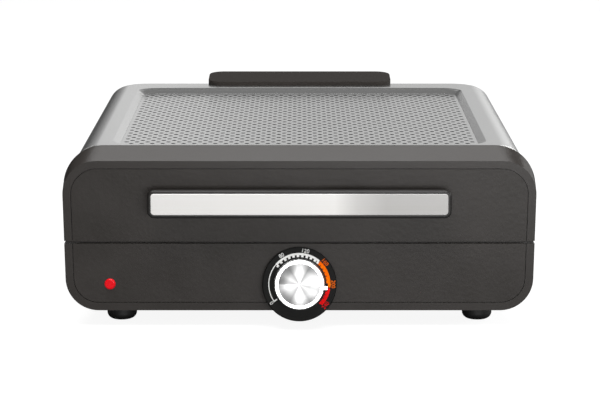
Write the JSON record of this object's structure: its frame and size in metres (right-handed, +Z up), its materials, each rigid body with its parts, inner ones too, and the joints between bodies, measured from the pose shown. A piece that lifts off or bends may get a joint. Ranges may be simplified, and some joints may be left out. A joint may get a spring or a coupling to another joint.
{
  "type": "electric griddle",
  "caption": "Low rectangular tabletop griddle with a rear-hinged perforated lid, a front bar handle, a round temperature dial, a lift-off cooking plate and four round feet.",
  "frame": {"origin": "on the floor under the centre of the whole object's box, lid shut", "axes": "+Z up, -Y towards the user in front, +X to the user's right"},
  "size_m": [0.4152, 0.463, 0.1681],
  "materials": {
    "panel": "fine satin dark brown-grey moulding",
    "fascia": "satin, finely grained",
    "handle": "satin black-brown",
    "strip": "long horizontal brushing",
    "silver": "satin silver sheet",
    "shell": "fine matt texture",
    "dial": "satin black with a printed scale",
    "knob": "satin plated",
    "knob_face": "spun, radial highlights",
    "pointer": "satin silver tab",
    "lens": "translucent red",
    "lamp": "moulded lamp holder",
    "coating": "dark non-stick coating on cast aluminium",
    "tray": "dull pressed aluminium",
    "pan": "aluminised sheet",
    "element": "oxidised tube",
    "gland": "moulded bush",
    "ceramic_white": "unglazed ceramic",
    "thermostat": "phenolic housing",
    "copper": "drawn copper",
    "wire_brown": "insulated lead",
    "wire_blue": "insulated lead",
    "wire_green": "insulated lead",
    "steel": "zinc-plated sheet",
    "screw": "zinc-plated",
    "rubber": "matt rubber"
  },
  "bodies": {
    "base": {"base_bezel": "panel", "base_fascia": "fascia", "hinge_tower": "shell", "base_floor_pan": "shell", "base_rear_wall": "shell", "base_side_left": "shell", "base_side_right": "shell", "base_deck": "shell", "dial_plate": "dial", "indicator_lens": "lens", "indicator_lamp": "lamp", "reflector_pan": "pan", "bottom_cover": "pan", "heating_element": "element", "cord_gland": "gland", "terminal_block": "ceramic_white", "thermostat_body": "thermostat", "thermal_fuse": "ceramic_white", "sensor_bulb": "copper", "wire_live": "wire_brown", "wire_neutral": "wire_blue", "wire_switched": "wire_brown", "wire_earth": "wire_green", "thermostat_bracket": "steel", "element_plates": "steel", "element_clips": "steel", "sensor_clips": "steel", "base_screws": "screw", "bottom_screws": "screw", "deck_screws": "screw", "element_pins": "screw", "foot_screws": "screw", "hinge_pins": "screw", "pan_screws": "screw", "tower_screws": "screw", "foot_front_left": "rubber", "foot_front_right": "rubber", "foot_rear_left": "rubber", "foot_rear_right": "rubber", "lid_bumpers": "rubber"},
    "lid": {"lid_bezel": "panel", "lid_fascia": "fascia", "handle_bar": "handle", "handle_strip": "strip", "handle_screws": "screw", "lid_shell": "silver", "mesh_panel": "silver", "lid_rim_frame": "shell", "lid_screws": "screw", "hinge_cover": "panel", "hinge_arm_left": "steel", "hinge_arm_right": "steel", "hinge_screws": "screw"},
    "knob": {"knob_skirt": "knob", "knob_cap": "knob_face", "knob_pointer": "pointer", "control_shaft": "screw", "knob_clip": "steel"},
    "plate": {"griddle_plate": "coating"},
    "tray": {"drip_tray": "tray"}
  },
  "joints": [
    {"name": "lid_hinge", "type": "hinge", "parent": "base", "child": "lid", "pos_m": [0, 0.2195, 0.146], "axis": [-1, 0, 0], "range_deg": [0, 100]},
    {"name": "knob_turn", "type": "hinge", "parent": "base", "child": "knob", "pos_m": [0, -0.22215, 0.04185], "axis": [0, -0.9816, 0.1908], "range_deg": [-33, 223]},
    {"name": "plate_lift", "type": "slide", "parent": "base", "child": "plate", "axis": [0, 0, 1], "range_m": [0, 0.06]},
    {"name": "tray_pull", "type": "slide", "parent": "base", "child": "tray", "axis": [0, 1, 0], "range_m": [0, 0.08]}
  ]
}
